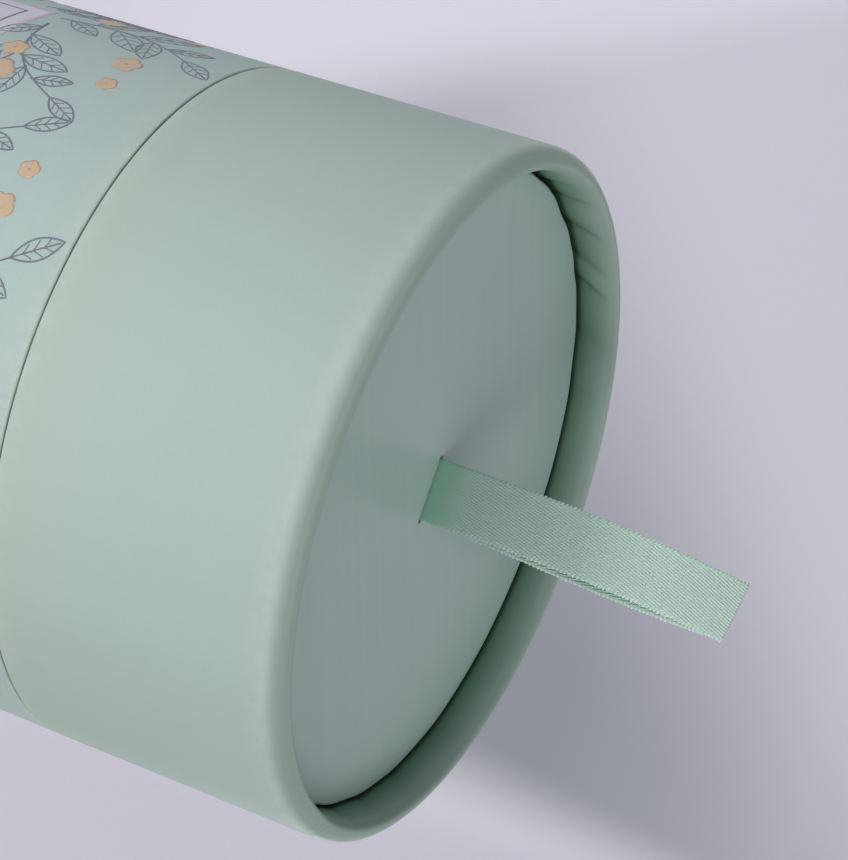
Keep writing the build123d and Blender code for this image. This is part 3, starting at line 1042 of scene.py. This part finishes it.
def placed(shape, at, turn, size):
    """Copies of a flat shape: turned by an angle, grown to a size and moved to a point, for arrays of each."""
    c, s = np.cos(turn)[:, None], np.sin(turn)[:, None]
    x, y = shape[None, :, 0] * size[:, None], shape[None, :, 1] * size[:, None]
    return np.stack([at[:, :1] + c * x - s * y, at[:, 1:] + s * x + c * y], axis=-1)


class GIFT_TUBE_OT_print_body(Operator):
    """Print the body: a pale panel with a fine frame, almond-leaf sprigs and round blossoms"""

    bl_idname = "gift_tube.print_body"
    bl_label = "Print the body"

    def execute(self, context):
        sizes, wraps, colours = groups("print", "wraps", "colours")
        centre = np.array([0, (sizes.panel_low + sizes.panel_high) / 2])
        half = np.array([sizes.panel_width, sizes.panel_high - sizes.panel_low]) / 2

        def rounded_frame(inset):
            """A rectangle with round corners about the panel's middle, as a closed line."""
            corner = max(sizes.corner - inset * 0.3, 0.4 * MM)
            turn = np.linspace(0, pi / 2, 7) + np.arange(4)[:, None] * pi / 2
            signs = np.array([(1, 1), (-1, 1), (-1, -1), (1, -1)])
            round_corner = corner * np.stack([np.cos(turn), np.sin(turn)], axis=-1)
            arcs = (signs * (half - inset - corner))[:, None] + round_corner
            # Each side runs from one arc's end to the next arc's start
            ahead = np.roll(arcs[:, :1], -1, axis=0) - arcs[:, -1:]
            sides = arcs[:, -1:] + np.linspace(0, 1, 22)[1:-1, None] * ahead
            return np.concatenate([arcs, sides], axis=1).reshape(-1, 2) + centre

        def raised(name, flat, faces, lift, material):
            """A film of ink: its face above the paper and its back on it, closed by the solidify modifier.

            Flat points go round the tube by their first number and up it by their second.
            """
            radius = wraps.radius + lift
            turn = sizes.azimuth + flat[..., 0] / radius
            piece = make_piece(name, turned(radius, flat[..., 1], turn), material, faces)
            film = piece.modifiers.new("film", "SOLIDIFY")
            film.thickness, film.offset = sizes.ink, -1
            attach(piece, "body")

        def four_corners(*drawn):
            """Points in millimetres from one corner of the panel and their faces, mirrored to all four."""
            points, faces, offset = [], [], 0
            for flat, part in drawn:
                for mirror in ((1, 1), (-1, 1), (1, -1), (-1, -1)):
                    points.append((flat.reshape(-1, 2) * MM + half) * mirror + centre)
                    faces.append(offset + (part if mirror[0] == mirror[1] else part[:, ::-1]))
                    offset += len(points[-1])
            return np.concatenate(points), np.concatenate(faces)

        # The panel is a grid from its edge in to its middle: rows are the outline shrunk
        line_ink = new_material("line_ink_offset", printed_ink, colours.line)
        outline = rounded_frame(0)
        rows, columns = 24, len(outline)
        grid = centre + (outline - centre) * np.linspace(1, 0.02, rows)[:, None, None]
        faces = grid_faces(rows, columns).tolist() + [list(range((rows - 1) * columns, rows * columns))]
        panel_ink = new_material("panel_ink_offset", printed_ink, colours.panel, 0.5)
        raised("label_panel", grid, faces, ON_PAPER, panel_ink)
        frame_line = np.stack([rounded_frame(sizes.frame_inset + part * sizes.line) for part in (0.7, -0.7)])
        raised("label_frame", frame_line, grid_faces(2, columns)[:, ::-1], ON_PANEL, line_ink)

        # Each stem is a curve from its start to its end with a bow to one side
        count = 15
        t = np.linspace(0, 1, count)[:, None]
        start, ahead = STEMS[:, None, 0:2], STEMS[:, None, 2:4] - STEMS[:, None, 0:2]
        sideways = np.stack([-ahead[..., 1], ahead[..., 0]], axis=-1)
        sideways = sideways / np.linalg.norm(sideways, axis=-1, keepdims=True)
        stems = start + ahead * t + sideways * STEMS[:, None, 4:] * np.sin(pi * t)

        # Leaves sit on both sides of each stem in turn, smaller towards its tip, one at the tip
        places, side, size = LEAVES
        index = (places * (count - 1)).astype(int)
        at = stems[:, index].reshape(-1, 2)
        slope = np.arctan2(np.gradient(stems[..., 1], axis=1), np.gradient(stems[..., 0], axis=1))[:, index]
        turn = (slope + side * 0.85).ravel()
        size = (size * STEM_SHARES[:, None] * sizes.leaf / MM).ravel()

        def leaf_edge(along):
            """Half the width of an almond leaf one unit long: 0.21 sin(pi s) to the power 0.85."""
            return 0.21 * np.sin(pi * along) ** 0.85

        # A leaf is its outline, its rib, and veins that run four fifths of the way to its edge
        s = np.linspace(0, 1, 14)
        leaf = np.concatenate([np.stack([s, leaf_edge(s)], 1), np.stack([s, -leaf_edge(s)], 1)[-2::-1]])
        rib = np.stack([np.linspace(-0.06, 0.93, 8), np.zeros(8)], axis=1)
        vein_t = np.linspace(0, 1, 4)
        veins = [
            np.stack([begin + 0.15 * vein_t, flip * 0.8 * leaf_edge(begin + 0.12) * vein_t**1.2], axis=1)
            for flip in (1, -1) for begin in (0.22, 0.42, 0.62)
        ]
        fine = sizes.line / MM * 0.5
        drawn = [(leaf, 1), (rib, 0.8), *((vein, 0.6) for vein in veins)]
        sprigs = four_corners(
            strokes(stems, np.linspace(1.5, 0.8, count) * fine),
            *(strokes(placed(shape, at, turn, size), fine * share) for shape, share in drawn),
        )
        raised("sprig_lines", *sprigs, ON_PAPER, line_ink)

        # Blossoms of five round petals and small berries, as rosettes filled from the edge in
        around = np.linspace(0, tau, 30, endpoint=False)
        petal = 0.78 + 0.22 * abs(np.cos(2.5 * around)) ** 0.6
        rings = np.linspace(1, 0.05, 5)[:, None]
        rosette = turned(petal * rings, 0, around)[..., :2].reshape(-1, 2)
        copies = placed(rosette, BLOSSOMS[:, :2], BLOSSOMS[:, 3], BLOSSOMS[:, 2] * sizes.blossom / MM)
        blossoms = four_corners((copies, grid_faces(5, 30, copies=len(BLOSSOMS))))
        peach_ink = new_material("peach_ink_offset", printed_ink, colours.peach)
        raised("blossoms", *blossoms, OVER_SPRIGS, peach_ink)
        return {"FINISHED"}


class GIFT_TUBE_OT_finish_boards(Operator):
    """Give the boards and linings of the packed model their finishes"""

    bl_idname = "gift_tube.finish_boards"
    bl_label = "Finish the boards"

    def execute(self, context):
        (colours,) = groups("colours")
        board = bpy.data.materials["grey_board_wound"]
        lining = new_material("lining_paper_pasted", lining_paper, colours.lining)
        spiral = new_material("lining_paper_wound", lining_paper, colours.lining, 64 * MM)
        neck = new_material("neck_board_faced", lining_paper, colours.neck, 58 * MM)
        finishes = {
            "base_tube": board, "base_disc": board, "lid_liner": spiral, "neck_lining": spiral,
            "neck_tube": neck, "lid_backing_disc": lining, "base_floor_disc": lining,
            "base_disc_cover": bpy.data.materials["mint_disc_paper_smooth"],
        }
        for name, material in finishes.items():
            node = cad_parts[name]
            if not node.material_slots:
                node.data.materials.append(material)
            for slot in node.material_slots:
                slot.material = material
        return {"FINISHED"}


# ---------------------------------------------------------------- stage

# Each lamp's place, aim, size in metres and power in watts, and whether it spares the floor: the
# lamps near the floor don't light it, or each would leave a glaring patch beside it
LAMPS = {
    "key": ((-0.04, -0.42, 0.03), (0, 0, 0.12), (0.3, 0.06), 0.73, True),
    "fill_plus_x": ((0.62, -0.28, 0.09), (0, 0, 0.12), (0.4, 0.16), 0.37, True),
    "fill_minus_x": ((-0.50, -0.34, 0.03), (0, 0, 0.07), (0.34, 0.06), 0.48, True),
    "back_plus_x": ((0.45, 0.55, 0.06), (0, 0, 0.09), (0.4, 0.1), 1.3, True),
    "back_minus_x": ((-0.25, 0.66, 0.06), (0, 0, 0.09), (0.4, 0.1), 0.9, True),
    "rim_side": ((0.33, -0.42, 0.34), (0, 0, 0.18), (0.12, 0.12), 0.24, False),
    "front_top": ((0.02, -0.41, 0.70), (0, 0, 0.2), (0.16, 0.16), 0.27, False),
    "side_top": ((0.76, -0.55, 0.95), (0, 0, 0.18), (0.4, 0.4), 1.0, False),
}
# The soft light of the sky: its strength, the angle that it fills and where it comes from
SKY_STRENGTH, SKY_ANGLE, SKY_FROM = 0.92, radians(64), (0.45, -0.16, 1.0)
# The air's strength for light on the box, and what is added to it for the camera and gloss
AIR_LIGHT, AIR_SEEN = 0.15, 0.55


class GIFT_TUBE_OT_set_stage(Operator):
    """Set up the pale floor, the soft lamps and the camera at the photograph's viewing angle"""

    bl_idname = "gift_tube.set_stage"
    bl_label = "Set the stage"

    def execute(self, context):
        scene = context.scene
        stage, colours = groups("stage", "colours")

        def add_object(name, data):
            """A new object that holds the data, in the scene."""
            thing = bpy.data.objects.new(name, data)
            scene.collection.objects.link(thing)
            return thing

        # The backdrop is a bowl: a flat floor, a cove and a wall, turned once round
        flat, cove = stage.floor_radius, stage.cove_radius
        turn = np.linspace(0, pi / 2, 16)[1:]
        radius = [np.linspace(0.002, 1, 24) * flat, flat + cove * np.sin(turn), np.full(4, flat + cove)]
        height = [np.zeros(24), cove * (1 - np.cos(turn)), np.linspace(cove, stage.wall_height, 5)[1:]]
        radius, height = (np.concatenate(parts)[:, None] for parts in (radius, height))
        floor = make_piece(
            "backdrop",
            turned(radius, height, np.arange(96) * tau / 96),
            new_material("backdrop_paper_lilac", backdrop_paper, colours),
            grid_faces(len(radius), 96),
        )

        spared = bpy.data.collections.new("spared_by_low_lamps")
        spared.objects.link(floor)
        spared.collection_objects[0].light_linking.link_state = "EXCLUDE"
        for name, (at, aim, size, power, spares_floor) in LAMPS.items():
            light = bpy.data.lights.new(name, "AREA")
            light.shape, light.size, light.size_y = "RECTANGLE", *size
            light.energy = power
            lamp = add_object(name, light)
            lamp.location = at
            lamp.rotation_euler = (Vector(aim) - Vector(at)).to_track_quat("-Z", "Y").to_euler()
            lamp.visible_camera = False
            if spares_floor:
                lamp.light_linking.receiver_collection = spared
        sun = bpy.data.lights.new("sky", "SUN")
        sun.energy, sun.angle = SKY_STRENGTH, SKY_ANGLE
        add_object("sky", sun).rotation_euler = Vector(SKY_FROM).to_track_quat("Z", "Y").to_euler()

        # The camera and gloss see the air as pale as the backdrop, and it lights the box a little
        scene.world = bpy.data.worlds.new("studio_air")
        scene.world.use_nodes = True
        air = scene.world.node_tree
        strength = add(air, "Math", [seen(air), AIR_SEEN, AIR_LIGHT], operation="MULTIPLY_ADD")[0]
        fill(air, air.nodes["Background"], {"Color": colours.air, "Strength": strength})

        lens = bpy.data.cameras.new("camera")
        lens.sensor_fit, lens.sensor_width, lens.lens = "AUTO", 36, stage.lens
        lens.clip_start, lens.clip_end = 0.01, 20
        camera = add_object("camera", lens)
        at, aim = Vector(stage.camera_at), Vector(stage.camera_aim)
        level = (aim - at).to_track_quat("-Z", "Y").to_matrix()
        roll = Matrix.Rotation(stage.camera_roll, 3, "Z")
        camera.matrix_world = Matrix.Translation(at) @ (level @ roll).to_4x4()
        scene.camera = camera
        scene.view_settings.view_transform = "Standard"
        return {"FINISHED"}


class GIFT_TUBE_PT_sidebar(Panel):
    """Lists the steps and the sizes of the gift tube"""

    bl_idname = "GIFT_TUBE_PT_sidebar"
    bl_label = "Gift Tube"
    bl_space_type = "VIEW_3D"
    bl_region_type = "UI"
    bl_category = "Gift Tube"

    def draw(self, context):
        for operator in OPERATORS:
            self.layout.operator(operator.bl_idname)
        for name, group in GROUPS.items():
            box = self.layout.box()
            box.label(text=group.__doc__)
            for field in group.__annotations__:
                box.prop(getattr(context.scene, name), field)


GROUPS = {
    "gift_tube_wraps": GiftTubeWraps,
    "gift_tube_disc": GiftTubeDisc,
    "gift_tube_ribbon": GiftTubeRibbon,
    "gift_tube_print": GiftTubePrint,
    "gift_tube_stage": GiftTubeStage,
    "gift_tube_colours": GiftTubeColours,
}
OPERATORS = (
    GIFT_TUBE_OT_wrap_lid,
    GIFT_TUBE_OT_wrap_body,
    GIFT_TUBE_OT_close_lid,
    GIFT_TUBE_OT_thread_ribbon,
    GIFT_TUBE_OT_print_body,
    GIFT_TUBE_OT_finish_boards,
    GIFT_TUBE_OT_set_stage,
)


def register():
    for kind in (*GROUPS.values(), *OPERATORS, GIFT_TUBE_PT_sidebar):
        bpy.utils.register_class(kind)
    for name, group in GROUPS.items():
        setattr(bpy.types.Scene, name, PointerProperty(type=group))


def unregister():
    for name in GROUPS:
        delattr(bpy.types.Scene, name)
    for kind in reversed((*GROUPS.values(), *OPERATORS, GIFT_TUBE_PT_sidebar)):
        bpy.utils.unregister_class(kind)


def main():
    register()
    for operator in OPERATORS:
        family, name = operator.bl_idname.split(".")
        getattr(getattr(bpy.ops, family), name)()


if __name__ == "__main__":
    main()
